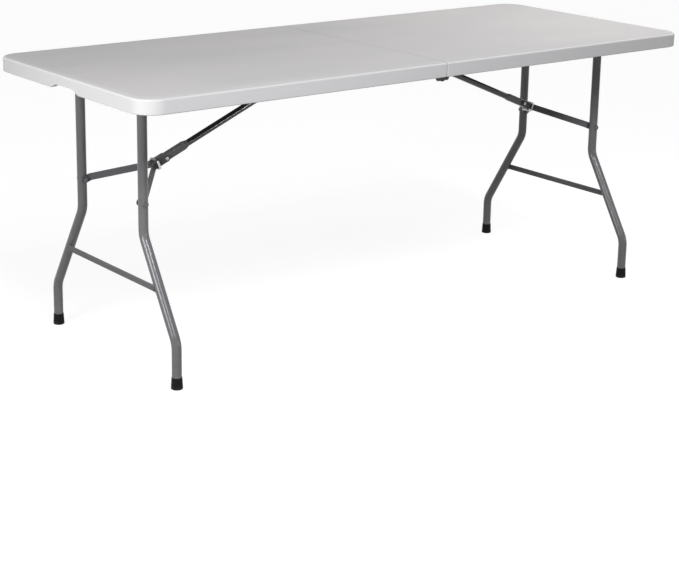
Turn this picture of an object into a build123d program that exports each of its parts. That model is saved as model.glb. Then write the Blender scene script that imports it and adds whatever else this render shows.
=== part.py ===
# Folding table that closes like a case: two blow-moulded top halves on a fold hinge,
# two wishbone leg frames that fold under them, each held by a jointed brace and a lock ring,
# and a carry handle. Millimetres. Origin on the floor under the table's centre, X along its
# length, Y across it, Z up.
import math
import os

from build123d import *

os.makedirs("parts", exist_ok=True)

# Overall sizes
table_length = 1830.0
table_width = 728.0
table_height = 740.0
seam_gap = 1.0

# Moulded top
rim_depth = 39.0
rim_wall = 16.0
deck_thickness = 9.0
end_corner_radius = 60.0
fold_edge_radius = 4.5
recess_inner_corner = 10.0
top_edge_radius = 4.0
border_width = 20.0
border_fall = 2.5
border_blend = 40.0
rim_foot_radius = 2.5
deck_skin = 2.0
rim_skin = 2.5
web_width = 18.0
web_pitch_x = 108.0
web_pitch_y = 112.0
webs_along = 7
webs_across = 5
dimple_mouth = 14.0
dimple_floor = 9.0
dimple_depth = 6.0

# Finger notches under the outer ends
notch_width = 140.0
notch_depth = 12.0
notch_corner = 10.0
notch_flank = 30.0
notch_lug = 22.0
scallop_flank = 14.0

# Side rails
rail_width = 20.0
rail_height = 26.0
rail_wall = 1.2
rail_side_gap = 5.5
rail_fold_gap = 20.0
rail_past_pivot = 52.0

# Fold hinge
hinge_drop = 1.0
leaf_thickness = 3.0
leaf_gap = 0.3
leaf_eye_radius = 10.0
leaf_plug = 45.0
hinge_pin_radius = 4.0
hinge_pin_head_radius = 6.5
hinge_pin_head = 2.5
hinge_slot_run = 24.0
hinge_slot_inward = 14.0
hinge_plate = 3.5
hinge_plate_gap = 1.0
hinge_knuckle_radius = 13.0
hinge_lobe_radius = 7.5
hinge_lobe_x = 14.0
hinge_lobe_drop = 3.5
running_fit = 0.05
head_gap = 0.3

# Leg frames
pivot_from_end = 127.0
pivot_below_deck = 15.0
leg_tube_radius = 12.5
leg_wall = 1.2
upper_leg_y = 150.0
foot_y = 296.0
upper_bend_z = 355.0
lower_bend_z = 115.0
leg_bend_radius = 60.0
pivot_stub_radius = 8.0
pivot_side_gap = 0.3
pivot_plug = 12.0
stub_end_gap = 1.0
cap_radius = 15.0
cap_top_radius = 13.4
cap_height = 30.0
cap_floor = 4.0
cap_fit = 0.05
cap_foot_radius = 2.0
crossbar_z = 237.0
crossbar_height = 16.0
crossbar_depth = 5.5
crossbar_corner = 2.5
crossbar_proud = 1.0
crossbar_end_gap = 2.0
leg_rivet_z = 435.0
leg_rivet_radius = 4.0
leg_rivet_head_radius = 7.0
leg_rivet_head = 2.5
leg_rivet_seat = 1.0

# Braces
anchor_from_fold = 105.0
anchor_below_deck = 10.5
brace_radius = 8.75
brace_wall = 1.5
brace_eye_radius = 7.75
brace_eye_width = 14.0
brace_neck = 24.0
brace_neck_height = 14.5
brace_neck_corner = 4.5
brace_neck_plug = 8.0
channel_half_width = 9.0
channel_half_height = 10.5
channel_wall = 1.8
channel_corner = 4.0
channel_back = 62.0
channel_front = 29.0
channel_taper = 12.0
channel_neck_corner = 8.0
elbow_pin_radius = 4.0
elbow_head_radius = 5.2
elbow_head = 1.8
elbow_head_round = 1.5
link_thickness = 4.0
link_half_height = 9.25
link_end_radius = 9.0
link_gap = 0.3
link_straight = 41.0
link_bend_radius = 10.0
link_end_flat = 16.0
ring_wire = 2.3
ring_width = 6.0
ring_rest = 30.0
ring_room_above = 0.5
ring_room_below = 2.9
ring_room_side = 0.5
ring_corner = 4.0

# Brace anchor brackets
bracket_plate = 2.0
bracket_cheek = 2.5
bracket_side_gap = 0.4
bracket_length = 44.0
bracket_flange = 14.0
bracket_cheek_drop = 8.5

# Screws
screw_head_radius = 4.5
screw_head_height = 2.2
rail_screw_count = 4
rail_screw_inset = 70.0

# Carry handle
handle_from_fold = 450.0
handle_span = 170.0
handle_drop = 72.0
handle_stand_off = 8.5
handle_axis_below_top = 25.0
grip_radius = 7.0
grip_bend_radius = 30.0
tail_width = 25.0
tail_thickness = 3.0
tail_length = 36.0
tail_bar_gap = 0.3
bar_radius = 2.5
staple_plate = 2.0
staple_plate_height = 22.0
staple_arm = 4.0
staple_side_gap = 0.4
staple_arm_radius = 3.0

# Places worked out from the sizes above
half_length = table_length / 2
half_width = table_width / 2
pivot_from_fold = half_length - pivot_from_end
rim_z = table_height - rim_depth
deck_z = table_height - deck_thickness
hinge_z = rim_z - hinge_drop
inner_wall_y = half_width - rim_wall
rail_outer_y = inner_wall_y - rail_side_gap
rail_y = rail_outer_y - rail_width / 2
rail_inner_y = rail_outer_y - rail_width
rail_z = deck_z - rail_height / 2
rail_end = pivot_from_fold + rail_past_pivot
pivot_z = deck_z - pivot_below_deck
anchor_z = deck_z - anchor_below_deck
rivet_arm = pivot_z - leg_rivet_z
stub_end_y = rail_outer_y - stub_end_gap
tube_end_z = cap_floor

# The brace is straight when the legs stand and folds flat back on itself when they lie:
# both lengths follow from those two states.
span_open = math.hypot(pivot_from_fold - anchor_from_fold, anchor_z - leg_rivet_z)
run_flat = pivot_from_fold - anchor_from_fold - rivet_arm
rise_flat = anchor_z - pivot_z
brace_length = (span_open**2 - run_flat**2 - rise_flat**2) / (2 * (span_open - run_flat))
link_length = span_open - brace_length
brace_cos = (pivot_from_fold - anchor_from_fold) / span_open
brace_sin = (anchor_z - leg_rivet_z) / span_open
link_mid_y = channel_half_width + link_gap + link_thickness / 2
link_end_y = upper_leg_y - leg_tube_radius - link_gap - link_thickness / 2
elbow_out_y = link_mid_y + link_thickness / 2
ring_half_width = elbow_out_y + head_gap + elbow_head + ring_room_side
ring_above = channel_half_height + ring_room_above
ring_below = channel_half_height + ring_room_below


def brace_spot(side, along):
    # point on the brace line at a distance from the anchor, towards the legs
    return (
        side * (anchor_from_fold + along * brace_cos),
        0,
        anchor_z - along * brace_sin,
    )


def brace_plane(side, along):
    # plane through the brace line and Y: x runs to the legs, z points up off the brace
    return Plane(
        origin=brace_spot(side, along),
        x_dir=(side * brace_cos, 0, -brace_sin),
        z_dir=(side * brace_sin, 0, brace_cos),
    )


def brace_section(side, along):
    # plane square to the brace line: x points up off the brace, z runs to the legs
    return Plane(
        origin=brace_spot(side, along),
        x_dir=(side * brace_sin, 0, brace_cos),
        z_dir=(side * brace_cos, 0, -brace_sin),
    )


def leg_path(side, end):
    # centreline of one leg tube from the pivot tube to the foot
    with BuildLine(Plane.YZ.offset(side * pivot_from_fold)) as path:
        FilletPolyline(
            (end * upper_leg_y, pivot_z),
            (end * upper_leg_y, upper_bend_z),
            (end * foot_y, lower_bend_z),
            (end * foot_y, tube_end_z),
            radius=leg_bend_radius,
        )
    return path.wires()[0]


def leg_start(side, end):
    return Plane(
        origin=(side * pivot_from_fold, end * upper_leg_y, pivot_z),
        x_dir=(1, 0, 0),
        z_dir=(0, 0, -1),
    )


def save(builder, name):
    builder.part.label = name
    export_step(builder.part, f"parts/{name}.step")


halves = ((-1, "left"), (1, "right"))
ends = ((-1, "front"), (1, "back"))
half_run = half_length - seam_gap / 2
half_mid = (half_length + seam_gap / 2) / 2
recess_run = half_run - 2 * rim_wall

# Moulded top halves: hollow deck with tack-off dimples, deep rim, notches for hinge and fingers
for side, half in halves:
    with BuildPart() as top:
        with BuildSketch(Plane.XY.offset(rim_z)):
            with Locations((side * half_mid, 0)):
                Rectangle(half_run, table_width)
            fillet(
                vertices().group_by(Axis.X)[0 if side < 0 else -1],
                radius=end_corner_radius,
            )
        extrude(amount=rim_depth)
        deck_face = faces().sort_by(Axis.Z)[-1]
        fold_edge = deck_face.edges().sort_by(Axis.X)[-1 if side < 0 else 0]
        outline = [e for e in deck_face.edges() if e != fold_edge]
        chamfer(outline, length=border_width, length2=border_fall, reference=deck_face)
        deck_face = faces().sort_by(Axis.Z)[-1]
        fold_edge = deck_face.edges().sort_by(Axis.X)[-1 if side < 0 else 0]
        fillet([e for e in deck_face.edges() if e != fold_edge], radius=border_blend)
        shoulder = edges().filter_by_position(
            Axis.Z, table_height - border_fall, table_height - border_fall
        )
        fillet(shoulder, radius=top_edge_radius)
        fold_face = faces().sort_by(Axis.X)[-1 if side < 0 else 0]
        rim_line = fold_face.edges().sort_by(Axis.Z)[0]
        fillet([e for e in fold_face.edges() if e != rim_line], radius=fold_edge_radius)
        with BuildSketch(Plane.XY.offset(rim_z)):
            with Locations((side * half_mid, 0)):
                Rectangle(recess_run, table_width - 2 * rim_wall)
            fillet(
                vertices().group_by(Axis.X)[0 if side < 0 else -1],
                radius=end_corner_radius - rim_wall,
            )
            fillet(
                vertices().group_by(Axis.X)[-1 if side < 0 else 0],
                radius=recess_inner_corner,
            )
        extrude(amount=rim_depth - deck_thickness, mode=Mode.SUBTRACT)
        fillet(faces().sort_by(Axis.Z)[0].edges(), radius=rim_foot_radius)
        for end, _ in ends:
            with Locations(
                (
                    side * hinge_slot_run / 2,
                    end * (rail_y - hinge_slot_inward + inner_wall_y) / 2,
                    (rim_z + deck_z) / 2,
                )
            ):
                Box(
                    hinge_slot_run + seam_gap,
                    inner_wall_y - rail_y + hinge_slot_inward,
                    rim_depth - deck_thickness,
                    mode=Mode.SUBTRACT,
                )
        if side < 0:
            notches = ((-notch_width / 2, notch_width / 2, notch_flank),)
        else:
            notches = (
                (-notch_width / 2, -notch_lug / 2, scallop_flank),
                (notch_lug / 2, notch_width / 2, scallop_flank),
            )
        with BuildSketch(Plane.YZ.offset(side * half_length)):
            for low, high, flank in notches:
                with BuildLine():
                    Polyline(
                        (low - flank, rim_z - notch_depth),
                        (low + flank, rim_z + notch_depth),
                        (high - flank, rim_z + notch_depth),
                        (high + flank, rim_z - notch_depth),
                        close=True,
                    )
                make_face()
            fillet(vertices().group_by(Axis.Y)[-1], radius=notch_corner)
        extrude(amount=-side * (rim_wall + rim_foot_radius), mode=Mode.SUBTRACT)
        with Locations((side * half_mid, 0, (deck_z + table_height) / 2)):
            with GridLocations(web_pitch_x, web_pitch_y, webs_along + 1, webs_across + 1):
                Box(
                    web_pitch_x - web_width,
                    web_pitch_y - web_width,
                    deck_thickness - 2 * deck_skin,
                    mode=Mode.SUBTRACT,
                )
        for end, _ in ends:
            with Locations(
                (
                    side * half_mid,
                    end * (half_width - rim_wall / 2),
                    (rim_z + table_height) / 2,
                )
            ):
                Box(
                    half_run - 4 * end_corner_radius,
                    rim_wall - 2 * rim_skin,
                    rim_depth - 2 * top_edge_radius,
                    mode=Mode.SUBTRACT,
                )
        for count_x, count_y in (
            (webs_along, webs_across),
            (webs_along + 1, webs_across),
            (webs_along, webs_across + 1),
        ):
            with Locations((side * half_mid, 0, deck_z + dimple_depth / 2)):
                with GridLocations(web_pitch_x, web_pitch_y, count_x, count_y):
                    Cone(
                        dimple_mouth / 2,
                        dimple_floor / 2,
                        dimple_depth,
                        mode=Mode.SUBTRACT,
                    )
    save(top, f"{half}_top")

# Side rails under each half, drilled for the leg pivot
for side, half in halves:
    rail_run = rail_end - rail_fold_gap
    for end, edge in ends:
        with BuildPart() as rail:
            with BuildSketch(Plane.YZ.offset(side * rail_fold_gap)):
                with Locations((end * rail_y, rail_z)):
                    RectangleRounded(rail_width, rail_height, 2 * rail_wall)
                    RectangleRounded(
                        rail_width - 2 * rail_wall,
                        rail_height - 2 * rail_wall,
                        rail_wall,
                        mode=Mode.SUBTRACT,
                    )
            extrude(amount=side * rail_run)
            with Locations((side * pivot_from_fold, end * rail_y, pivot_z)):
                Cylinder(
                    pivot_stub_radius + running_fit,
                    2 * rail_width,
                    rotation=(90, 0, 0),
                    mode=Mode.SUBTRACT,
                )
        save(rail, f"{half}_{edge}_rail")

# Screws up through each rail into the deck, heads seen on the rail's underside
screw_z = deck_z - rail_height
for side, half in halves:
    step = (rail_end - rail_fold_gap - 2 * rail_screw_inset) / (rail_screw_count - 1)
    with BuildPart() as screws:
        for end, _ in ends:
            for index in range(rail_screw_count):
                spot = side * (rail_fold_gap + rail_screw_inset + index * step)
                with Locations((spot, end * rail_y, screw_z)):
                    Cylinder(
                        screw_head_radius,
                        screw_head_height,
                        align=(Align.CENTER, Align.CENTER, Align.MAX),
                    )
        fillet(
            edges().filter_by(GeomType.CIRCLE).group_by(Axis.Z)[0],
            radius=screw_head_height / 2,
        )
    save(screws, f"{half}_rail_screws")

# Fold hinge: a leaf plugged into each rail end and a headed pin through each pair
for side, half in halves:
    for end, edge in ends:
        leaf_y = rail_y + side * (leaf_gap + leaf_thickness) / 2
        with BuildPart() as leaf:
            with BuildSketch(Plane.XZ.offset(-end * leaf_y)):
                with Locations((side * (rail_fold_gap + leaf_plug / 2), rail_z)):
                    Rectangle(leaf_plug, rail_height - 2 * rail_wall)
                with BuildLine():
                    Polyline(
                        (side * rail_fold_gap, rail_z + rail_height / 2 - rail_wall),
                        (side * rail_fold_gap, rail_z - rail_height / 2 + rail_wall),
                        (side * leaf_eye_radius / 2, hinge_z - leaf_eye_radius * 0.75),
                        (-side * leaf_eye_radius / 2, hinge_z + leaf_eye_radius * 0.75),
                        close=True,
                    )
                make_face()
                with Locations((0, hinge_z)):
                    Circle(leaf_eye_radius)
                    Circle(hinge_pin_radius + running_fit, mode=Mode.SUBTRACT)
            extrude(amount=leaf_thickness / 2, both=True)
        save(leaf, f"{half}_{edge}_hinge_leaf")

pin_reach = leaf_gap / 2 + leaf_thickness + head_gap
plate_out_y = inner_wall_y - hinge_plate_gap
for end, edge in ends:
    with BuildPart() as pin:
        shank_y = (rail_y - pin_reach + plate_out_y) / 2
        with Locations((0, end * shank_y, hinge_z)):
            Cylinder(
                hinge_pin_radius, plate_out_y - rail_y + pin_reach, rotation=(90, 0, 0)
            )
        head_y = rail_y - pin_reach - hinge_pin_head / 2
        with Locations((0, end * head_y, hinge_z)):
            Cylinder(hinge_pin_head_radius, hinge_pin_head, rotation=(90, 0, 0))
        with BuildSketch(Plane.XZ.offset(-end * plate_out_y)):
            with Locations(
                (-hinge_lobe_x, hinge_z - hinge_lobe_drop),
                (hinge_lobe_x, hinge_z - hinge_lobe_drop),
            ):
                Circle(hinge_lobe_radius)
            with Locations((0, hinge_z)):
                Circle(hinge_knuckle_radius)
        extrude(amount=end * hinge_plate)
    save(pin, f"{edge}_hinge_pin")

# Leg frames
for side, half in halves:
    leg_x = side * pivot_from_fold
    shoulder_y = rail_inner_y - pivot_side_gap
    with BuildPart() as pivot:
        with Locations((leg_x, 0, pivot_z)):
            Cylinder(leg_tube_radius, 2 * shoulder_y, rotation=(90, 0, 0))
            Cylinder(pivot_stub_radius, 2 * stub_end_y, rotation=(90, 0, 0))
            Cylinder(
                leg_tube_radius - leg_wall,
                2 * (shoulder_y - pivot_plug),
                rotation=(90, 0, 0),
                mode=Mode.SUBTRACT,
            )
            Cylinder(
                pivot_stub_radius - leg_wall,
                2 * stub_end_y,
                rotation=(90, 0, 0),
                mode=Mode.SUBTRACT,
            )
    save(pivot, f"{half}_leg_pivot_tube")

    for end, edge in ends:
        path = leg_path(side, end)
        with BuildPart() as leg:
            with BuildSketch(leg_start(side, end)):
                Circle(leg_tube_radius)
                Circle(leg_tube_radius - leg_wall, mode=Mode.SUBTRACT)
            sweep(path=path)
            with Locations((leg_x, end * upper_leg_y, pivot_z)):
                Cylinder(
                    leg_tube_radius,
                    4 * leg_tube_radius,
                    rotation=(90, 0, 0),
                    mode=Mode.SUBTRACT,
                )
            with Locations((leg_x, end * upper_leg_y, leg_rivet_z)):
                Cylinder(
                    leg_rivet_radius,
                    4 * leg_tube_radius,
                    rotation=(90, 0, 0),
                    mode=Mode.SUBTRACT,
                )
        save(leg, f"{half}_{edge}_leg_tube")

        with BuildPart() as cap:
            with Locations((leg_x, end * foot_y, 0)):
                Cone(
                    cap_radius,
                    cap_top_radius,
                    cap_height,
                    align=(Align.CENTER, Align.CENTER, Align.MIN),
                )
            fillet(
                edges().filter_by(GeomType.CIRCLE).sort_by(Axis.Z)[0],
                radius=cap_foot_radius,
            )
            with Locations((leg_x, end * foot_y, cap_floor)):
                Cylinder(
                    leg_tube_radius + cap_fit,
                    cap_height,
                    align=(Align.CENTER, Align.CENTER, Align.MIN),
                    mode=Mode.SUBTRACT,
                )
        save(cap, f"{half}_{edge}_foot_cap")

    slope = (foot_y - upper_leg_y) / (upper_bend_z - lower_bend_z)
    bar_end_z = crossbar_z + crossbar_height / 2 + crossbar_end_gap
    crossbar_y = upper_leg_y + slope * (upper_bend_z - bar_end_z)
    crossbar_x = leg_x + side * (leg_tube_radius + crossbar_proud - crossbar_depth / 2)
    with BuildPart() as crossbar:
        with BuildSketch(Plane.XZ):
            with Locations((crossbar_x, crossbar_z)):
                RectangleRounded(crossbar_depth, crossbar_height, crossbar_corner)
        extrude(amount=crossbar_y, both=True)
        for end, _ in ends:
            path = leg_path(side, end)
            with BuildSketch(leg_start(side, end)) as bore:
                Circle(leg_tube_radius)
            sweep(path=path, mode=Mode.SUBTRACT)
    save(crossbar, f"{half}_leg_crossbar")

    with BuildPart() as rivets:
        for end, _ in ends:
            with Locations((leg_x, end * upper_leg_y, leg_rivet_z)):
                Cylinder(leg_rivet_radius, 2 * leg_tube_radius, rotation=(90, 0, 0))
            head_y = upper_leg_y + leg_tube_radius
            seat_y = head_y + (leg_rivet_head - leg_rivet_seat) / 2
            with Locations((leg_x, end * seat_y, leg_rivet_z)):
                Cylinder(
                    leg_rivet_head_radius,
                    leg_rivet_head + leg_rivet_seat,
                    rotation=(90, 0, 0),
                )
        for end, _ in ends:
            with Locations((leg_x, end * upper_leg_y, leg_rivet_z)):
                Cylinder(
                    leg_tube_radius,
                    4 * leg_tube_radius,
                    mode=Mode.SUBTRACT,
                )
                Cylinder(leg_rivet_radius, 2 * leg_tube_radius, rotation=(90, 0, 0))
    save(rivets, f"{half}_leg_rivets")

# Braces: tube with an eye at the anchor, box channel at the elbow, elbow rivet
for side, half in halves:
    tube_run = brace_length - channel_back - channel_taper
    anchor_x = side * anchor_from_fold
    with BuildPart() as brace:
        with BuildSketch(brace_section(side, brace_neck)):
            Circle(brace_radius)
            Circle(brace_radius - brace_wall, mode=Mode.SUBTRACT)
        extrude(amount=tube_run - brace_neck)
        with BuildSketch(brace_section(side, 0)):
            RectangleRounded(brace_neck_height, brace_eye_width, brace_neck_corner)
        extrude(amount=brace_neck + brace_neck_plug)
        with Locations((anchor_x, 0, anchor_z)):
            Cylinder(brace_eye_radius, brace_eye_width, rotation=(90, 0, 0))
            Cylinder(
                elbow_pin_radius + running_fit,
                4 * brace_radius,
                rotation=(90, 0, 0),
                mode=Mode.SUBTRACT,
            )
    save(brace, f"{half}_brace_tube")

    box_start = tube_run + channel_taper
    channel_run = channel_back + channel_front
    with BuildPart() as channel:
        with BuildSketch(brace_section(side, tube_run)):
            RectangleRounded(2 * brace_radius, 2 * brace_radius, channel_neck_corner)
        with BuildSketch(brace_section(side, box_start)):
            RectangleRounded(
                2 * channel_half_height, 2 * channel_half_width, channel_corner
            )
        loft()
        with BuildSketch(brace_section(side, box_start)):
            RectangleRounded(
                2 * channel_half_height, 2 * channel_half_width, channel_corner
            )
        extrude(amount=channel_run)
        with BuildSketch(brace_section(side, box_start + channel_wall)):
            RectangleRounded(
                2 * (channel_half_height - channel_wall),
                2 * (channel_half_width - channel_wall),
                channel_corner - channel_wall,
            )
        extrude(amount=channel_run, mode=Mode.SUBTRACT)
        elbow = brace_plane(side, brace_length)
        with Locations(elbow):
            Cylinder(
                elbow_pin_radius,
                4 * channel_half_width,
                rotation=(90, 0, 0),
                mode=Mode.SUBTRACT,
            )
    save(channel, f"{half}_brace_channel")

    with BuildPart() as rivet:
        reach = elbow_out_y + head_gap
        with Locations(elbow):
            Cylinder(elbow_pin_radius, 2 * reach, rotation=(90, 0, 0))
        for way in (-1, 1):
            with Locations(elbow.location * Pos(0, way * (reach + elbow_head / 2), 0)):
                Cylinder(elbow_head_radius, elbow_head, rotation=(90, 0, 0))
        fillet(
            edges().filter_by(GeomType.CIRCLE).group_by(Axis.Y)[0]
            + edges().filter_by(GeomType.CIRCLE).group_by(Axis.Y)[-1],
            radius=elbow_head_round,
        )
    save(rivet, f"{half}_elbow_rivet")

    # yoke links: flat bars from the elbow, spread to the inner sides of the leg tubes
    for end, edge in ends:
        way = end * side
        bend_out = link_length - link_end_flat
        with BuildLine(elbow) as route:
            FilletPolyline(
                (-link_half_height, way * link_mid_y),
                (link_straight, way * link_mid_y),
                (bend_out, way * link_end_y),
                (link_length + link_half_height, way * link_end_y),
                radius=link_bend_radius,
            )
        with BuildPart() as link:
            with BuildSketch(brace_section(side, brace_length - link_half_height)):
                with Locations((0, -way * link_mid_y)):
                    Rectangle(2 * link_half_height, link_thickness)
            sweep(path=route.wires()[0])
            fillet(
                edges().filter_by(Axis.Y),
                radius=link_end_radius,
            )
            for at in (0, link_length):
                at_y = link_mid_y if at == 0 else link_end_y
                fit = running_fit if at == 0 else 0
                with Locations(elbow.location * Pos(at, way * at_y, 0)):
                    Cylinder(
                        elbow_pin_radius + fit,
                        2 * link_thickness,
                        rotation=(90, 0, 0),
                        mode=Mode.SUBTRACT,
                    )
        save(link, f"{half}_{edge}_link")

    with BuildPart() as link_rivets:
        inner_y = link_end_y - link_thickness / 2
        for end, _ in ends:
            with Locations(elbow.location * Pos(link_length, end * link_end_y, 0)):
                Cylinder(leg_rivet_radius, link_thickness, rotation=(90, 0, 0))
            with Locations(
                elbow.location
                * Pos(link_length, end * (inner_y - leg_rivet_head / 2), 0)
            ):
                Cylinder(leg_rivet_head_radius, leg_rivet_head, rotation=(90, 0, 0))
    save(link_rivets, f"{half}_link_rivets")

    # lock ring, loose on the channel and the links
    with BuildPart() as ring:
        ring_mid = (ring_above - ring_below) / 2
        ring_plane = brace_section(side, brace_length + ring_rest - ring_width / 2)
        with BuildSketch(ring_plane):
            with Locations((ring_mid, 0)):
                RectangleRounded(
                    ring_above + ring_below + 2 * ring_wire,
                    2 * (ring_half_width + ring_wire),
                    ring_corner + ring_wire,
                )
                RectangleRounded(
                    ring_above + ring_below,
                    2 * ring_half_width,
                    ring_corner,
                    mode=Mode.SUBTRACT,
                )
        extrude(amount=ring_width)
    save(ring, f"{half}_lock_ring")

# Brace anchors: a screwed-on fork under each half and its pin
for side, half in halves:
    anchor_x = side * anchor_from_fold
    cheek_y = brace_eye_width / 2 + bracket_side_gap
    flange_y = cheek_y + bracket_cheek + bracket_flange
    with BuildPart() as bracket:
        with Locations((anchor_x, 0, deck_z)):
            Box(
                bracket_length,
                2 * flange_y,
                bracket_plate,
                align=(Align.CENTER, Align.CENTER, Align.MAX),
            )
        for end, _ in ends:
            with BuildSketch(Plane.XZ.offset(-end * (cheek_y + bracket_cheek / 2))):
                with BuildLine():
                    Polyline(
                        (anchor_x - bracket_length / 2, deck_z - bracket_plate),
                        (anchor_x + bracket_length / 2, deck_z - bracket_plate),
                        (anchor_x + bracket_cheek_drop, anchor_z - bracket_cheek_drop),
                        (anchor_x - bracket_cheek_drop, anchor_z - bracket_cheek_drop),
                        close=True,
                    )
                make_face()
            extrude(amount=bracket_cheek / 2, both=True)
        with Locations((anchor_x, 0, anchor_z)):
            Cylinder(elbow_pin_radius, 4 * flange_y, rotation=(90, 0, 0), mode=Mode.SUBTRACT)
    save(bracket, f"{half}_brace_bracket")

    with BuildPart() as anchor_pin:
        reach = cheek_y + bracket_cheek
        with Locations((anchor_x, 0, anchor_z)):
            Cylinder(elbow_pin_radius, 2 * reach, rotation=(90, 0, 0))
        for way in (-1, 1):
            with Locations((anchor_x, way * (reach + elbow_head / 2), anchor_z)):
                Cylinder(elbow_head_radius, elbow_head, rotation=(90, 0, 0))
    save(anchor_pin, f"{half}_anchor_pin")

    with BuildPart() as bracket_screws:
        screw_y = cheek_y + bracket_cheek + bracket_flange / 2
        with Locations((anchor_x, 0, deck_z - bracket_plate)):
            with GridLocations(bracket_length - 4 * screw_head_radius, 2 * screw_y, 2, 2):
                Cylinder(
                    screw_head_radius,
                    screw_head_height,
                    align=(Align.CENTER, Align.CENTER, Align.MAX),
                )
        fillet(
            edges().filter_by(GeomType.CIRCLE).group_by(Axis.Z)[0],
            radius=screw_head_height / 2,
        )
    save(bracket_screws, f"{half}_bracket_screws")

# Carry handle on the back long side of the left half: staples, strap tails, grip
handle_y = half_width + handle_stand_off
handle_z = table_height - handle_axis_below_top
handle_x = -handle_from_fold
arm_x = tail_width / 2 + staple_side_gap
for way, place in ((-1, "outer"), (1, "inner")):
    staple_x = handle_x + way * handle_span / 2
    with BuildPart() as staple:
        with Locations((staple_x, half_width, handle_z)):
            Box(
                2 * (arm_x + staple_arm),
                staple_plate,
                staple_plate_height,
                align=(Align.CENTER, Align.MIN, Align.CENTER),
            )
        for hand in (-1, 1):
            with BuildSketch(Plane.YZ.offset(staple_x + hand * (arm_x + staple_arm / 2))):
                with Locations((half_width + handle_stand_off / 2, handle_z)):
                    Rectangle(handle_stand_off, 2 * staple_arm_radius)
                with Locations((handle_y, handle_z)):
                    Circle(staple_arm_radius)
            extrude(amount=staple_arm / 2, both=True)
        with Locations((staple_x, handle_y, handle_z)):
            Cylinder(bar_radius, 2 * arm_x, rotation=(0, 90, 0))
    save(staple, f"handle_{place}_staple")

    with BuildPart() as tail:
        eye_bore = bar_radius + tail_bar_gap
        with BuildSketch(Plane.YZ.offset(staple_x)):
            with Locations((handle_y, handle_z)):
                Circle(eye_bore + tail_thickness)
            with Locations((handle_y, handle_z - tail_length / 2)):
                Rectangle(2 * tail_thickness, tail_length)
            with Locations((handle_y, handle_z)):
                Circle(eye_bore, mode=Mode.SUBTRACT)
        extrude(amount=tail_width / 2, both=True)
    save(tail, f"handle_{place}_tail")

grip_top_z = handle_z - tail_length
with BuildLine(Plane.XZ.offset(-handle_y)) as grip_path:
    FilletPolyline(
        (handle_x - handle_span / 2, grip_top_z),
        (handle_x - handle_span / 2, handle_z - handle_drop),
        (handle_x + handle_span / 2, handle_z - handle_drop),
        (handle_x + handle_span / 2, grip_top_z),
        radius=grip_bend_radius,
    )
with BuildPart() as grip:
    with BuildSketch(
        Plane(
            origin=(handle_x - handle_span / 2, handle_y, grip_top_z),
            x_dir=(1, 0, 0),
            z_dir=(0, 0, -1),
        )
    ):
        Circle(grip_radius)
    sweep(path=grip_path.wires()[0])
save(grip, "handle_grip")
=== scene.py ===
import bpy
import math
import numpy as np
from mathutils import Matrix, Vector


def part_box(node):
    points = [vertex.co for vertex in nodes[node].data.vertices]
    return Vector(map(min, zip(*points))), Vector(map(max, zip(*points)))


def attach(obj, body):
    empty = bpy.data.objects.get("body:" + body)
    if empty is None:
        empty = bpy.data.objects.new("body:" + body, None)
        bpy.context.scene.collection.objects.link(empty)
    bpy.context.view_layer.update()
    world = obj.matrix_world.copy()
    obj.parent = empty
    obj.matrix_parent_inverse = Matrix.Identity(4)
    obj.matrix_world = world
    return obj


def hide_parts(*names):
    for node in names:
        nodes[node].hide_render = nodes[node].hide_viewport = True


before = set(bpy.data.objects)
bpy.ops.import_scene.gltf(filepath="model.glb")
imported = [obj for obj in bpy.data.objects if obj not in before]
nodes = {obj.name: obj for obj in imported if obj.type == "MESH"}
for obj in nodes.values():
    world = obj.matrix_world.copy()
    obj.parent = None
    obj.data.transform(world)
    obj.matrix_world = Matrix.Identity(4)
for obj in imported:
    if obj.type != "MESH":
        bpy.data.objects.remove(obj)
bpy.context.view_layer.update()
scene = bpy.context.scene
scene.view_settings.view_transform = "Standard"
print("frame loaded:", len(nodes), "nodes")

# camera: heading is measured from +Y towards +X, pitch is downwards, tilt turns the picture
cameraSettings = {
    "place": (-2.8125, -3.4938, 1.4827),
    "heading": 38.227,
    "pitch": 14.958,
    "tilt": 0.989,
    "lens": 87.392,
    "sensor": 36,
    "shiftY": -0.12,
    "farthest": 200,
}


def placeCamera(cfg):
    # axes of the camera from heading and pitch, then turned about the view line by the tilt
    heading, pitch, tilt = (math.radians(cfg[k]) for k in ("heading", "pitch", "tilt"))
    level = Vector((math.sin(heading), math.cos(heading), 0))
    look = level * math.cos(pitch) - Vector((0, 0, math.sin(pitch)))
    across = Vector((math.cos(heading), -math.sin(heading), 0))
    above = across.cross(look)
    right = across * math.cos(tilt) + above * math.sin(tilt)
    top = above * math.cos(tilt) - across * math.sin(tilt)
    data = bpy.data.cameras.new("photoCamera")
    data.lens = cfg["lens"]
    data.sensor_width = cfg["sensor"]
    data.shift_y = cfg["shiftY"]
    data.clip_end = cfg["farthest"]
    cam = bpy.data.objects.new("photoCamera", data)
    turn = Matrix((right, top, -look)).transposed().to_4x4()
    cam.matrix_world = Matrix.Translation(cfg["place"]) @ turn
    scene.collection.objects.link(cam)
    scene.camera = cam


placeCamera(cameraSettings)
print("camera placed")

# node building


def wire(tree, value, socket):
    # a link where the value is another node's socket, a plain setting where it is a number or a colour
    if isinstance(value, bpy.types.NodeSocket):
        tree.links.new(value, socket)
    else:
        socket.default_value = value


def opaque(colour):
    # red, green and blue with a full fourth channel
    return (*colour, 1)


def mathStep(tree, operation, *values, clamp=False):
    # one arithmetic node on sockets or numbers
    node = tree.nodes.new("ShaderNodeMath")
    node.operation = operation
    node.use_clamp = clamp
    for value, socket in zip(values, node.inputs):
        wire(tree, value, socket)
    return node.outputs[0]


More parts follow.
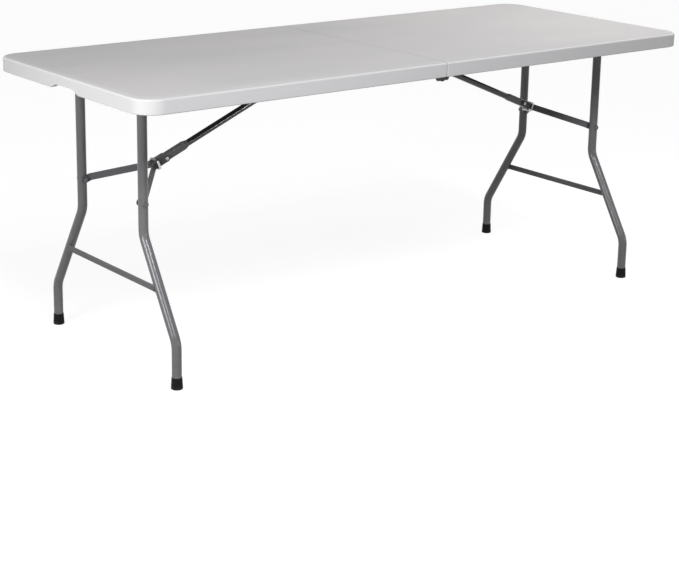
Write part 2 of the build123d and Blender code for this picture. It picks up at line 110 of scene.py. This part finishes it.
def vectorStep(tree, operation, vector, other):
    # a vector times another vector, or scaled by a number
    node = tree.nodes.new("ShaderNodeVectorMath")
    node.operation = operation
    wire(tree, vector, node.inputs[0])
    wire(tree, other, node.inputs["Scale" if operation == "SCALE" else 1])
    return node.outputs[0]


def remap(tree, value, fromEnds=(0, 1), toEnds=(0, 1), curve="LINEAR"):
    # carries a value from one range into another and holds it at both ends
    node = tree.nodes.new("ShaderNodeMapRange")
    node.interpolation_type = curve
    for label, end in zip(("From Min", "From Max", "To Min", "To Max"), (*fromEnds, *toEnds)):
        node.inputs[label].default_value = end
    wire(tree, value, node.inputs["Value"])
    return node.outputs["Result"]


mixPlaces = {"FLOAT": (2, 3, 0), "RGBA": (6, 7, 2)}  # where a Mix node keeps its first, second and result


def mixed(tree, kind, factor, first, second):
    # first where the factor is 0, second where it is 1, in proportion between
    node = tree.nodes.new("ShaderNodeMix")
    node.data_type = kind
    firstPlace, secondPlace, resultPlace = mixPlaces[kind]
    wire(tree, factor, node.inputs["Factor"])
    wire(tree, first, node.inputs[firstPlace])
    wire(tree, second, node.inputs[secondPlace])
    return node.outputs[resultPlace]


def objectPoint(tree):
    # the shaded point in the piece's own frame
    return tree.nodes.new("ShaderNodeTexCoord").outputs["Object"]


def splitPoint(tree, point):
    # a point's X, Y and Z
    node = tree.nodes.new("ShaderNodeSeparateXYZ")
    wire(tree, point, node.inputs["Vector"])
    return node.outputs


def noiseField(tree, point, scale, detail, rough):
    # layered noise at a point: each finer layer is weaker by the roughness
    node = tree.nodes.new("ShaderNodeTexNoise")
    for label, value in (("Vector", point), ("Scale", scale), ("Detail", detail), ("Roughness", rough)):
        wire(tree, value, node.inputs[label])
    return node.outputs["Fac"]


def seenDirectly(tree):
    # 1 for rays from the camera, mirrors and glass, 0 for rays that carry light
    path = tree.nodes.new("ShaderNodeLightPath").outputs
    total = path["Is Camera Ray"]
    for label in ("Is Glossy Ray", "Is Transmission Ray"):
        total = mathStep(tree, "ADD", total, path[label], clamp=True)
    return total


def startGroup(name, inputs, outputs):
    # an empty node group: a socket is a colour where its value is a tuple, and a number elsewhere
    group = bpy.data.node_groups.new(name, "ShaderNodeTree")
    for side, sockets in (("INPUT", inputs), ("OUTPUT", outputs)):
        for label, value in sockets.items():
            kind = "NodeSocketColor" if isinstance(value, tuple) else "NodeSocketFloat"
            group.interface.new_socket(label, in_out=side, socket_type=kind).default_value = value
    given = group.nodes.new("NodeGroupInput").outputs
    result = group.nodes.new("NodeGroupOutput").inputs
    return group, given, result


def placeGroup(tree, group, values):
    # a group put into a material with its own values
    node = tree.nodes.new("ShaderNodeGroup")
    node.node_tree = group
    for label, value in values.items():
        wire(tree, value, node.inputs[label])
    return node.outputs


def newMaterial(name):
    # a material with its tree and its shader
    mat = bpy.data.materials.new(name)
    mat.use_nodes = True
    return mat, mat.node_tree, mat.node_tree.nodes["Principled BSDF"]


def raiseSkin(tree, bsdf, height, strength, distance):
    # tilts the shader's normal by the slope of a height
    node = tree.nodes.new("ShaderNodeBump")
    for label, value in (("Height", height), ("Strength", strength), ("Distance", distance)):
        wire(tree, value, node.inputs[label])
    wire(tree, node.outputs["Normal"], bsdf.inputs["Normal"])


# light: a weak even sky, softboxes at the left end, over the near rim and over the right half,
# and four weak lamps, of which legLamp and braceLamp put streaks on the tubes
lightSettings = {
    "sky": 0.03,
    "skySeen": 1.0,
    "softboxes": {
        "endBox": {
            "power": 19.5, "size": 0.7, "tint": (1, 1, 1),
            "place": (-2.2, -0.45, 0.85), "aim": (-0.6, 0.0, 0.5)},
        "rimBox": {
            "power": 24.5, "size": 0.45, "tint": (0.97, 0.97, 1),
            "place": (-0.8, -1.7, 2.0), "aim": (-0.6, -0.3, 0.7)},
        "overBox": {
            "power": 10, "size": 0.9, "tint": (1, 0.985, 0.97),
            "place": (1.1, -0.1, 1.85), "aim": (0.9, 0.0, 0.7)},
    },
    "lamps": {
        "frontLamp": {"power": 0.6, "spread": 10, "tint": (0.97, 0.97, 1), "from": (-0.2, -0.75, 0.85)},
        "legLamp": {"power": 0.3, "spread": 8, "tint": (0.97, 0.97, 1), "from": (-0.2, -0.75, 0.62)},
        "braceLamp": {"power": 0.3, "spread": 5, "tint": (1, 1, 1), "from": (0.42, -0.89, 0.17)},
        "backLamp": {"power": 0.7, "spread": 40, "tint": (1, 1, 1), "from": (-0.15, 0.9, 0.3)},
    },
}


def addLamp(name, kind, turn, cfg):
    # a lamp whose back points along the turn, unseen by the camera
    lamp = bpy.data.lights.new(name, kind)
    lamp.energy = cfg["power"]
    lamp.color = cfg["tint"]
    obj = bpy.data.objects.new(name, lamp)
    obj.rotation_mode = "QUATERNION"
    obj.rotation_quaternion = Vector(turn).to_track_quat("Z", "Y")
    obj.visible_camera = False
    scene.collection.objects.link(obj)
    return obj


def makeSky(cfg):
    # even white, weak where it lights and full where it is seen
    world = bpy.data.worlds.new("studioSky")
    scene.world = world
    world.use_nodes = True
    tree = world.node_tree
    back = tree.nodes["Background"]
    back.inputs["Color"].default_value = (1, 1, 1, 1)
    level = remap(tree, seenDirectly(tree), toEnds=(cfg["sky"], cfg["skySeen"]))
    wire(tree, level, back.inputs["Strength"])


def makeLamps(cfg):
    # softboxes stand at a place and look at their aim; lamps shine from a direction
    for name, box in cfg["softboxes"].items():
        obj = addLamp(name, "AREA", Vector(box["place"]) - Vector(box["aim"]), box)
        obj.data.size = box["size"]
        obj.location = box["place"]
    for name, one in cfg["lamps"].items():
        obj = addLamp(name, "SUN", one["from"], one)
        obj.data.angle = math.radians(one["spread"])


makeSky(lightSettings)
makeLamps(lightSettings)
print("lights placed:", len(lightSettings["softboxes"]) + len(lightSettings["lamps"]))

# shared effects
grainSettings = {"slow": (5.0, 0.55), "fine": (2.0, 0.6), "contrast": (0.3, 0.7)}
scuffSettings = {"scale": 60.0, "detail": 6.0, "rough": 0.7, "contrast": (0.45, 0.7)}
pebbleSettings = {"fineRatio": 2.3, "fineShare": 0.5, "crease": 1.2}


def makeGrainGroup(cfg):
    # two noises at the object's point: a slow one clouds colour and gloss, a fine one pits the skin
    group, given, result = startGroup(
        "mouldGrain",
        {"Clouds": 3.0, "Pits": 700.0, "Spread": 0.5, "Light": (1, 1, 1, 1), "Dark": (0.8, 0.8, 0.8, 1),
         "Smooth": 0.4, "Rough": 0.6},
        {"Color": (1, 1, 1, 1), "Roughness": 0.5, "Height": 0.0})
    point = objectPoint(group)
    slow = noiseField(group, point, given["Clouds"], *cfg["slow"])
    fine = noiseField(group, point, given["Pits"], *cfg["fine"])
    cloud = remap(group, mixed(group, "FLOAT", given["Spread"], slow, fine), cfg["contrast"])
    wire(group, mixed(group, "RGBA", cloud, given["Dark"], given["Light"]), result["Color"])
    wire(group, mixed(group, "FLOAT", slow, given["Smooth"], given["Rough"]), result["Roughness"])
    wire(group, fine, result["Height"])
    return group


def makeScuffGroup(cfg):
    # dust near the floor: (1 - height / reach) times sharpened noise times the amount
    group, given, result = startGroup(
        "floorScuff",
        {"Color": (1, 1, 1, 1), "Dust": (0.4, 0.38, 0.35, 1), "Reach": 0.2, "Amount": 0.3},
        {"Color": (1, 1, 1, 1)})
    point = objectPoint(group)
    fall = mathStep(group, "DIVIDE", splitPoint(group, point)["Z"], given["Reach"])
    near = mathStep(group, "SUBTRACT", 1.0, fall, clamp=True)
    noise = noiseField(group, point, cfg["scale"], cfg["detail"], cfg["rough"])
    patches = mathStep(group, "MULTIPLY", near, remap(group, noise, cfg["contrast"]))
    much = mathStep(group, "MULTIPLY", patches, given["Amount"], clamp=True)
    wire(group, mixed(group, "RGBA", much, given["Color"], given["Dust"]), result["Color"])
    return group


def makeOutlineGroup():
    # distance inside a rounded rectangle, with q = |p| - (half - r):
    # depth = r - length(max(q, 0)) - min(max(qx, qy), 0)
    group, given, result = startGroup(
        "outlineDepth", {"Half Length": 1.0, "Half Width": 1.0, "Corner": 0.1}, {"Depth": 0.0})
    point = splitPoint(group, objectPoint(group))
    over = []
    for axis, half in (("X", "Half Length"), ("Y", "Half Width")):
        inner = mathStep(group, "SUBTRACT", given[half], given["Corner"])
        over.append(mathStep(group, "SUBTRACT", mathStep(group, "ABSOLUTE", point[axis]), inner))
    squares = [mathStep(group, "POWER", mathStep(group, "MAXIMUM", q, 0.0), 2.0) for q in over]
    outside = mathStep(group, "SQRT", mathStep(group, "ADD", *squares))
    inside = mathStep(group, "MINIMUM", mathStep(group, "MAXIMUM", *over), 0.0)
    both = mathStep(group, "ADD", outside, inside)
    wire(group, mathStep(group, "SUBTRACT", given["Corner"], both), result["Depth"])
    return group


def makePebbleGroup(cfg):
    # moulded pebbles: soft cells of two sizes added, 1 on the pebbles and 0 in the creases
    group, given, result = startGroup("pebbleGrain", {"Scale": 300.0}, {"Height": 0.0})
    point = objectPoint(group)
    fineScale = mathStep(group, "MULTIPLY", given["Scale"], cfg["fineRatio"])
    cells = []
    for scale in (given["Scale"], fineScale):
        cell = group.nodes.new("ShaderNodeTexVoronoi")
        cell.feature = "SMOOTH_F1"
        wire(group, point, cell.inputs["Vector"])
        wire(group, scale, cell.inputs["Scale"])
        cells.append(cell.outputs["Distance"])
    total = mathStep(group, "MULTIPLY_ADD", cells[1], cfg["fineShare"], cells[0])
    wire(group, remap(group, total, (0, cfg["crease"]), (1, 0)), result["Height"])
    return group


grainGroup = makeGrainGroup(grainSettings)
scuffGroup = makeScuffGroup(scuffSettings)
outlineGroup = makeOutlineGroup()
pebbleGroup = makePebbleGroup(pebbleSettings)

# moulded top: deckEdge is how far inside the outline the pebbles start, line is the groove beside them,
# bumped in and painted darker as painted shade in the groove
topFinish = {
    "streak": (0.9, 2.6, 2.6),
    "clouds": (2.0, 5.0, 0.5),
    "contrast": (0.35, 0.65),
    # the deck's two colours sit below the rim's: painted shade for the pebbles' self-shadow and the weaker
    # light on the deck
    "shadedDeckDark": (0.56, 0.553, 0.551),
    "shadedDeckLight": (0.605, 0.592, 0.585),
    "rim": (0.64, 0.64, 0.638),
    "halfLength": float(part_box("right_top")[1][0]),
    "halfWidth": float(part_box("right_top")[1][1]),
    "corner": 0.06,
    "deckEdge": (0.0075, 0.0095),
    "deckFrom": 0.73,
    "line": 0.0015,
    # the share to which the groove line is painted darker: painted shade in the groove
    "grooveShadeTone": 0.86,
    "deckRough": (0.6, 0.78),
    "rimRough": 0.42,
    "pebbles": 330.0,
    "pebbleDepth": 0.0004,
    "pebbleBump": 0.5,
    "rimPebble": 0.25,
    "shine": 0.2,
}


def topMaterial(cfg):
    # pebbled deck where the point is high and inside the outline, smoother border and rim elsewhere;
    # the deck's colour clouds in streaks along the length and is set darker than the rim's, painted shade
    # on the same plastic
    mat, tree, bsdf = newMaterial("mouldedTop")
    point = objectPoint(tree)
    depth = placeGroup(tree, outlineGroup, {
        "Half Length": cfg["halfLength"], "Half Width": cfg["halfWidth"], "Corner": cfg["corner"]})["Depth"]
    high = mathStep(tree, "GREATER_THAN", splitPoint(tree, point)["Z"], cfg["deckFrom"])
    deck = mathStep(tree, "MULTIPLY", remap(tree, depth, cfg["deckEdge"], curve="SMOOTHSTEP"), high)
    nearLine = mathStep(tree, "COMPARE", depth, cfg["deckEdge"][0], cfg["line"])
    line = mathStep(tree, "MULTIPLY", nearLine, high)
    cloud = noiseField(tree, vectorStep(tree, "MULTIPLY", point, cfg["streak"]), *cfg["clouds"])
    clouded = remap(tree, cloud, cfg["contrast"])
    # deck colour darker than the rim's: painted shade
    shadedDeckTint = mixed(tree, "RGBA", clouded, opaque(cfg["shadedDeckDark"]), opaque(cfg["shadedDeckLight"]))
    tint = mixed(tree, "RGBA", deck, opaque(cfg["rim"]), shadedDeckTint)
    # painted shade: the colour is darkened along the groove line
    shade = remap(tree, line, toEnds=(1, cfg["grooveShadeTone"]))
    wire(tree, vectorStep(tree, "SCALE", tint, shade), bsdf.inputs["Base Color"])
    deckRough = remap(tree, cloud, toEnds=cfg["deckRough"])
    wire(tree, mixed(tree, "FLOAT", deck, cfg["rimRough"], deckRough), bsdf.inputs["Roughness"])
    pebble = placeGroup(tree, pebbleGroup, {"Scale": cfg["pebbles"]})["Height"]
    raised = mathStep(tree, "MULTIPLY", pebble, remap(tree, deck, toEnds=(cfg["rimPebble"], 1)))
    grooved = mathStep(tree, "SUBTRACT", raised, line)
    raiseSkin(tree, bsdf, grooved, cfg["pebbleBump"], cfg["pebbleDepth"])
    bsdf.inputs["Specular IOR Level"].default_value = cfg["shine"]
    return mat


finishes = {
    "legCoat": {
        "light": (0.153, 0.153, 0.16), "dark": (0.114, 0.114, 0.12), "clouds": 9.0, "pits": 900.0,
        "smooth": 0.08, "rough": 0.2, "bump": 0.06, "depth": 0.0001, "shine": 0.4,
        "dust": 0.2, "reach": 0.1},
    "barCoat": {
        "light": (0.15, 0.15, 0.157), "dark": (0.11, 0.11, 0.116), "clouds": 9.0, "pits": 900.0,
        "smooth": 0.35, "rough": 0.5, "bump": 0.06, "depth": 0.0001, "shine": 0.1},
    "braceCoat": {
        "light": (0.022, 0.022, 0.024), "dark": (0.012, 0.012, 0.013), "clouds": 12.0, "pits": 900.0,
        "smooth": 0.08, "rough": 0.16, "bump": 0.03, "depth": 0.0001},
    "railCoat": {
        "light": (0.2, 0.2, 0.207), "dark": (0.14, 0.14, 0.146), "clouds": 8.0, "pits": 800.0,
        "smooth": 0.4, "rough": 0.58, "bump": 0.22, "depth": 0.0003},
    "hingeBlack": {
        "light": (0.03, 0.03, 0.032), "dark": (0.016, 0.016, 0.017), "clouds": 20.0, "pits": 1200.0,
        "smooth": 0.35, "rough": 0.55, "bump": 0.25, "depth": 0.0003},
    "capRubber": {
        "light": (0.01, 0.01, 0.0105), "dark": (0.005, 0.005, 0.0052), "clouds": 40.0, "pits": 1500.0,
        "smooth": 0.5, "rough": 0.75, "bump": 0.3, "depth": 0.0004, "shine": 0.1,
        "dust": 0.15, "reach": 0.012},
    "rivetCoat": {
        "light": (0.16, 0.16, 0.166), "dark": (0.09, 0.09, 0.095), "clouds": 60.0, "pits": 1400.0,
        "smooth": 0.15, "rough": 0.35, "bump": 0.2, "depth": 0.0003, "metal": 0.4},
    "elbowSteel": {
        "light": (0.42, 0.42, 0.42), "dark": (0.28, 0.28, 0.28), "clouds": 60.0, "pits": 1400.0,
        "smooth": 0.12, "rough": 0.28, "bump": 0.15, "depth": 0.0002, "metal": 0.9},
    "zincPlate": {
        "light": (0.78, 0.78, 0.76), "dark": (0.58, 0.58, 0.57), "clouds": 60.0, "pits": 1600.0,
        "smooth": 0.22, "rough": 0.42, "bump": 0.15, "depth": 0.0002, "metal": 1.0},
    "ringSteel": {
        "light": (0.62, 0.62, 0.61), "dark": (0.4, 0.4, 0.4), "clouds": 50.0, "pits": 1400.0,
        "smooth": 0.2, "rough": 0.4, "bump": 0.15, "depth": 0.0002, "metal": 1.0},
    "stapleBlack": {
        "light": (0.028, 0.028, 0.029), "dark": (0.018, 0.018, 0.019), "clouds": 30.0, "pits": 1300.0,
        "smooth": 0.4, "rough": 0.6, "bump": 0.2, "depth": 0.0003},
}


def coatedMaterial(name, cfg):
    # a skin with clouded colour, uneven gloss and fine pits, dusted towards the floor where asked
    mat, tree, bsdf = newMaterial(name)
    grain = placeGroup(tree, grainGroup, {
        "Clouds": cfg["clouds"], "Pits": cfg["pits"], "Light": opaque(cfg["light"]),
        "Dark": opaque(cfg["dark"]), "Smooth": cfg["smooth"], "Rough": cfg["rough"]})
    colour = grain["Color"]
    if "dust" in cfg:
        scuff = {"Color": colour, "Amount": cfg["dust"], "Reach": cfg["reach"]}
        colour = placeGroup(tree, scuffGroup, scuff)["Color"]
    wire(tree, colour, bsdf.inputs["Base Color"])
    wire(tree, grain["Roughness"], bsdf.inputs["Roughness"])
    raiseSkin(tree, bsdf, grain["Height"], cfg["bump"], cfg["depth"])
    bsdf.inputs["Metallic"].default_value = cfg.get("metal", 0.0)
    bsdf.inputs["Specular IOR Level"].default_value = cfg.get("shine", 0.5)
    return mat


mats = {name: coatedMaterial(name, cfg) for name, cfg in finishes.items()}
mats["mouldedTop"] = topMaterial(topFinish)
print("finishes made:", len(mats))

# which nodes wear which finish, by the ends of their names
wearers = {
    "mouldedTop": ("left_top", "right_top"),
    "railCoat": ("_rail",),
    "legCoat": ("leg_tube", "pivot_tube", "brace_channel"),
    "barCoat": ("leg_crossbar", "_link"),
    "braceCoat": ("brace_tube",),
    "hingeBlack": ("hinge_leaf", "hinge_pin", "brace_bracket"),
    "capRubber": ("foot_cap",),
    "rivetCoat": ("_rivets",),
    "elbowSteel": ("elbow_rivet",),
    "zincPlate": ("screws", "anchor_pin"),
    "ringSteel": ("lock_ring",),
    "stapleBlack": ("staple",),
}


def dressNodes(cfg):
    # every material slot of a node takes the finish that its name asks for
    dressed = 0
    for finish, endings in cfg.items():
        for name in (n for n in nodes if n.endswith(endings)):
            for holder in nodes[name].material_slots:
                holder.material = mats[finish]
            dressed += 1
    return dressed


print("nodes dressed:", dressNodes(wearers))

# new pieces


def surfaceFromGrid(name, grid, capEnds, mat, body):
    # a grid of points, rows along and columns round, becomes quads; columns close on themselves
    rows, cols = grid.shape[:2]
    index = np.arange(rows * cols).reshape(rows, cols)
    following = np.roll(index, -1, axis=1)
    quads = np.stack([index[:-1], following[:-1], following[1:], index[1:]], axis=-1)
    faces = quads.reshape(-1, 4).tolist()
    if capEnds:
        faces.append(index[0, ::-1].tolist())
        faces.append(index[-1].tolist())
    mesh = bpy.data.meshes.new(name)
    mesh.from_pydata(grid.reshape(-1, 3).tolist(), [], faces)
    mesh.update()
    across = np.arange(cols) / cols
    steps = np.linalg.norm(np.diff(grid.mean(axis=1), axis=0), axis=1)
    along = np.concatenate([[0], np.cumsum(steps)])
    uv = np.stack(np.broadcast_arrays(across[None, :], along[:, None]), axis=-1).reshape(-1, 2)
    layer = mesh.uv_layers.new(name="weaveMap")
    corner = np.empty(len(mesh.loops), dtype=np.int32)
    mesh.loops.foreach_get("vertex_index", corner)
    layer.data.foreach_set("uv", uv[corner].astype(np.float32).ravel())
    mesh.polygons.foreach_set("use_smooth", np.ones(len(mesh.polygons), dtype=bool))
    mesh.materials.append(mat)
    obj = bpy.data.objects.new(name, mesh)
    scene.collection.objects.link(obj)
    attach(obj, body)
    return obj


# carry handle: a webbing strap, flat at one end, twisted at the other, bound into a tapering grip between;
# cuts, twist and gather values are shares of the strap's length
handle = {
    "mid": -0.450,
    "span": 0.170,
    "axisZ": 0.715,
    "stand": 0.0085,
    "drop": 0.072,
    "square": 4.4,
    "webWidth": 0.0245,
    "webThick": 0.0026,
    "webSquare": 0.35,
    "twistWidth": 0.0125,
    "twistThick": 0.005,
    "twistFrom": 0.03,
    "twistShort": 0.05,
    "gripThick": 0.0064,
    "gripThin": 0.0044,
    "gripSquare": 1.0,
    "gatherIn": (0.045, 0.09),
    "gatherOut": (0.03, 0.08),
    "turns": 9,
    "starts": 2,
    "ribDepth": 0.0008,
    "cuts": (0.215, 0.785),
    "rows": 520,
    "round": 56,
    "lineSteps": 4000,
    "barRadius": 0.0025,
    "loopGap": 0.0003,
    "loopRound": 40,
}
handle["outY"] = float(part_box("left_top")[1][1]) + handle["stand"]
weaves = {
    "webbing": {
        "across": 22, "along": 260, "rough": 0.75,
        "light": (0.032, 0.032, 0.034), "dark": (0.008, 0.008, 0.009)},
    "boundGrip": {
        "across": 9, "along": 450, "rough": 0.5,
        "light": (0.03, 0.03, 0.032), "dark": (0.008, 0.008, 0.009),
        # the grip's pale stripe colour is a painted highlight along its spiral
        "paintedSheen": (0.3, 0.3, 0.31), "paintedSheenEdge": (0.72, 0.9)},
}
threadSettings = {"sheen": 0.1, "bump": 0.7, "depth": 0.0006}


def smoothStep(t):
    # 0 below 0, 1 above 1, and 3t^2 - 2t^3 between
    t = np.clip(t, 0, 1)
    return t * t * (3 - 2 * t)


def handleLine(cfg):
    # hanging arch: a superellipse, x = a cos^p and z = -b sin^p of the turn, spaced evenly along its length
    turn = np.linspace(0, math.pi, cfg["lineSteps"])
    power = 2 / cfg["square"]
    x = cfg["mid"] - cfg["span"] / 2 * np.sign(np.cos(turn)) * np.abs(np.cos(turn)) ** power
    z = cfg["axisZ"] - cfg["drop"] * np.abs(np.sin(turn)) ** power
    run = np.concatenate([[0], np.cumsum(np.hypot(np.diff(x), np.diff(z)))])
    even = np.linspace(0, run[-1], cfg["rows"])
    return np.interp(even, run, x), np.interp(even, run, z), even / run[-1], run[-1]


def webbingMaterial(name, cfg, starts, pitch):
    # woven band: a wave across times a wave along, from the piece's own map;
    # pale stripes, a painted highlight for the sheen on the twisted grip, lie where starts times the turn
    # plus pitch times the length is a quarter past a whole number
    mat, tree, bsdf = newMaterial(name)
    coord = tree.nodes.new("ShaderNodeUVMap")
    coord.uv_map = "weaveMap"
    place = splitPoint(tree, coord.outputs["UV"])

    def waveOf(across, along):
        # sine of (across * u + along * v) turns
        first = mathStep(tree, "MULTIPLY", place["X"], across * 2 * math.pi)
        angle = mathStep(tree, "MULTIPLY_ADD", place["Y"], along * 2 * math.pi, first)
        return mathStep(tree, "SINE", angle)

    threads = mathStep(tree, "MULTIPLY", waveOf(cfg["across"], 0), waveOf(0, cfg["along"]))
    lift = remap(tree, threads, (-1, 1))
    colour = mixed(tree, "RGBA", lift, opaque(cfg["dark"]), opaque(cfg["light"]))
    # painted highlight: pale stripes along the grip's spiral
    if "paintedSheen" in cfg:
        sheenBand = remap(tree, waveOf(starts, pitch), cfg["paintedSheenEdge"], curve="SMOOTHSTEP")
        colour = mixed(tree, "RGBA", sheenBand, colour, opaque(cfg["paintedSheen"]))
    wire(tree, colour, bsdf.inputs["Base Color"])
    bsdf.inputs["Roughness"].default_value = cfg["rough"]
    bsdf.inputs["Sheen Weight"].default_value = threadSettings["sheen"]
    raiseSkin(tree, bsdf, lift, threadSettings["bump"], threadSettings["depth"])
    return mat


def strapSections(cfg, s):
    # half widths, half thicknesses, turn and squareness of the section at each share s of the length:
    # flat band, turned a quarter and narrowed on the twisted side, gathered to a round on the grip
    first, last = cfg["cuts"]
    twist = smoothStep((s - cfg["twistFrom"]) / (first - cfg["twistShort"]))
    leadIn, runIn = cfg["gatherIn"]
    leadOut, runOut = cfg["gatherOut"]
    gather = smoothStep((s - first + leadIn) / runIn) * smoothStep((last + leadOut - s) / runOut)
    taper = smoothStep((s - first) / (last - first))
    radius = cfg["gripThick"] + (cfg["gripThin"] - cfg["gripThick"]) * taper
    outerHalf = s < 0.5  # the inner half stays flat
    twist = np.where(outerHalf, twist, 0)
    quarter = np.where(outerHalf, math.pi / 2, 0)
    flatWide = (cfg["webWidth"] + (cfg["twistWidth"] - cfg["webWidth"]) * twist) / 2
    flatThick = (cfg["webThick"] + (cfg["twistThick"] - cfg["webThick"]) * twist) / 2
    wide = flatWide * (1 - gather) + radius * gather
    thick = flatThick * (1 - gather) + radius * gather
    turned = twist * math.pi / 2 * (1 - gather) + quarter * gather
    squareness = cfg["webSquare"] * (1 - gather) + cfg["gripSquare"] * gather
    return (values[:, None] for values in (wide, thick, turned, squareness, gather))


def makeHandleStrap(cfg):
    # the section carried along the arch, with spiral ribs |sin(turns + angle)| where it is gathered
    x, z, s, length = handleLine(cfg)
    pitch = cfg["starts"] * cfg["turns"] / length
    for name, weave in weaves.items():
        mats[name] = webbingMaterial(name, weave, cfg["starts"], pitch)
    around = np.linspace(0, 2 * math.pi, cfg["round"], endpoint=False)[None, :]
    tangent = np.stack([np.gradient(x), np.gradient(z)], axis=-1)
    tangent /= np.linalg.norm(tangent, axis=1, keepdims=True)
    normal = np.stack([tangent[:, 1], -tangent[:, 0]], axis=-1)
    wide, thick, turned, squareness, gather = strapSections(cfg, s)
    spiral = np.sin(2 * math.pi * cfg["turns"] * s[:, None] + around)
    ribs = np.abs(spiral) * cfg["ribDepth"] * gather
    alongWide = (wide + ribs) * np.sign(np.cos(around)) * np.abs(np.cos(around)) ** squareness
    alongThick = (thick + ribs) * np.sign(np.sin(around)) * np.abs(np.sin(around)) ** squareness
    inPlane = alongWide * np.cos(turned) - alongThick * np.sin(turned)
    outPlane = alongWide * np.sin(turned) + alongThick * np.cos(turned)
    gridX = x[:, None] + normal[:, :1] * inPlane
    gridZ = z[:, None] + normal[:, 1:] * inPlane
    grid = np.stack([gridX, cfg["outY"] + outPlane, gridZ], axis=-1)
    start, stop = (int(cfg["rows"] * cut) for cut in cfg["cuts"])
    tails = [
        ("strapTailOuter", grid[: start + 1], "handle_outer_tail"),
        ("strapTailInner", grid[stop:], "handle_inner_tail")]
    for name, part, node in tails:
        piece = surfaceFromGrid(name, part, True, mats["webbing"], "handle")
        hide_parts(node)
    grip = surfaceFromGrid("strapGrip", grid[start : stop + 1], True, mats["boundGrip"], "handle")
    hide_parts("handle_grip")


def makeStrapLoop(cfg, x, name):
    # the tail's end turned round the staple's bar: a box section carried round a circle
    turn = np.linspace(0, 2 * math.pi, cfg["loopRound"], endpoint=False)[None, :]
    inner = cfg["barRadius"] + cfg["loopGap"]
    outer = inner + cfg["webThick"]
    radius = np.array([inner, outer, outer, inner, inner])[:, None]
    offset = np.array([-1, -1, 1, 1, -1])[:, None] * cfg["webWidth"] / 2
    grid = np.stack(np.broadcast_arrays(
        x + offset,
        cfg["outY"] + radius * np.cos(turn),
        cfg["axisZ"] + radius * np.sin(turn)), axis=-1)
    return surfaceFromGrid(name, grid, False, mats["webbing"], "handle")


makeHandleStrap(handle)
for sideSign, label in ((-1, "Outer"), (1, "Inner")):
    makeStrapLoop(handle, handle["mid"] + sideSign * handle["span"] / 2, "strapLoop" + label)
print("handle strap made")

# weld beads where the lower crossbars run into the slanting legs
weld = {
    "tubeRadius": 0.0125,
    "upperY": 0.150,
    "footY": 0.296,
    "upperZ": 0.355,
    "lowerZ": 0.115,
    "bead": 0.0016,
    "ripple": 0.22,
    "ripples": 11,
    "taper": 12,
    "tip": 0.05,
    "steps": 22,
    "round": 16,
}


def weldPath(cfg, low, high, axisX, sideX, sideY):
    # round three faces of the bar where they meet the leg: y = middle - root(r^2 - u^2) * root(1 + slope^2)
    inner = min(abs(low[0] - axisX), abs(high[0] - axisX))
    outer = cfg["tubeRadius"] - cfg["bead"] / 2
    steps = cfg["steps"]
    inwards = np.linspace(outer, inner, steps)
    outwards = np.linspace(inner, outer, steps)
    u = np.concatenate([inwards, np.full(steps, inner), outwards])
    side = np.linspace(high[2], low[2], steps + 2)[1:-1]
    z = np.concatenate([np.full(steps, high[2]), side, np.full(steps, low[2])])
    slope = (cfg["footY"] - cfg["upperY"]) / (cfg["upperZ"] - cfg["lowerZ"])
    middle = cfg["upperY"] + slope * (cfg["upperZ"] - z)
    y = middle - np.sqrt(cfg["tubeRadius"] ** 2 - u**2) * math.hypot(1, slope)
    path = np.stack([axisX + sideX * u, sideY * y, z], axis=-1)
    path[1:-1] = (path[:-2] + 2 * path[1:-1] + path[2:]) / 4  # eases the corners
    return path


def makeWeldBead(cfg, half, sideX, sideY, name):
    # a circle carried along the path, its radius rippled by a sine and drawn in at both ends
    low, high = (np.array(end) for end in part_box(half + "_leg_crossbar"))
    legLow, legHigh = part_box(half + "_front_leg_tube")
    path = weldPath(cfg, low, high, (legLow[0] + legHigh[0]) / 2, sideX, sideY)
    tangent = np.gradient(path, axis=0)
    tangent /= np.linalg.norm(tangent, axis=1, keepdims=True)
    first = np.cross(tangent, (0, 1, 0))
    first /= np.linalg.norm(first, axis=1, keepdims=True)
    second = np.cross(tangent, first)
    s = np.linspace(0, 1, len(path))
    ends = np.sqrt(np.clip(np.minimum(s, 1 - s) * cfg["taper"], cfg["tip"], 1))
    size = cfg["bead"] * ends * (1 + cfg["ripple"] * np.sin(2 * math.pi * cfg["ripples"] * s))
    turn = np.linspace(0, 2 * math.pi, cfg["round"], endpoint=False)[None, :, None]
    ring = np.cos(turn) * first[:, None, :] + np.sin(turn) * second[:, None, :]
    grid = path[:, None, :] + size[:, None, None] * ring
    return surfaceFromGrid(name, grid, True, mats["legCoat"], half + "_legs")


for half, sideX in (("left", -1), ("right", 1)):
    for label, sideY in (("Front", -1), ("Back", 1)):
        makeWeldBead(weld, half, sideX, sideY, half + label + "Weld")
print("weld beads made")

# floor: pale paper, lifted where it is seen so that the background stays light and the shadow shows
floorSettings = {"size": 40.0, "tone": (0.22, 0.22, 0.22), "lift": 0.87, "rough": 0.9, "shine": 0.1}


def makeFloor(cfg):
    # one square round the origin, whose glow is the lift for rays that see it and 0 for rays that light
    half = cfg["size"] / 2
    corners = [(-half, -half, 0), (half, -half, 0), (half, half, 0), (-half, half, 0)]
    mesh = bpy.data.meshes.new("studioFloor")
    mesh.from_pydata(corners, [], [(0, 1, 2, 3)])
    mat, tree, bsdf = newMaterial("floorPaper")
    bsdf.inputs["Base Color"].default_value = opaque(cfg["tone"])
    bsdf.inputs["Roughness"].default_value = cfg["rough"]
    bsdf.inputs["Specular IOR Level"].default_value = cfg["shine"]
    bsdf.inputs["Emission Color"].default_value = (1, 1, 1, 1)
    glow = mathStep(tree, "MULTIPLY", seenDirectly(tree), cfg["lift"])
    wire(tree, glow, bsdf.inputs["Emission Strength"])
    mesh.materials.append(mat)
    obj = bpy.data.objects.new("studioFloor", mesh)
    scene.collection.objects.link(obj)


makeFloor(floorSettings)
print("floor laid")
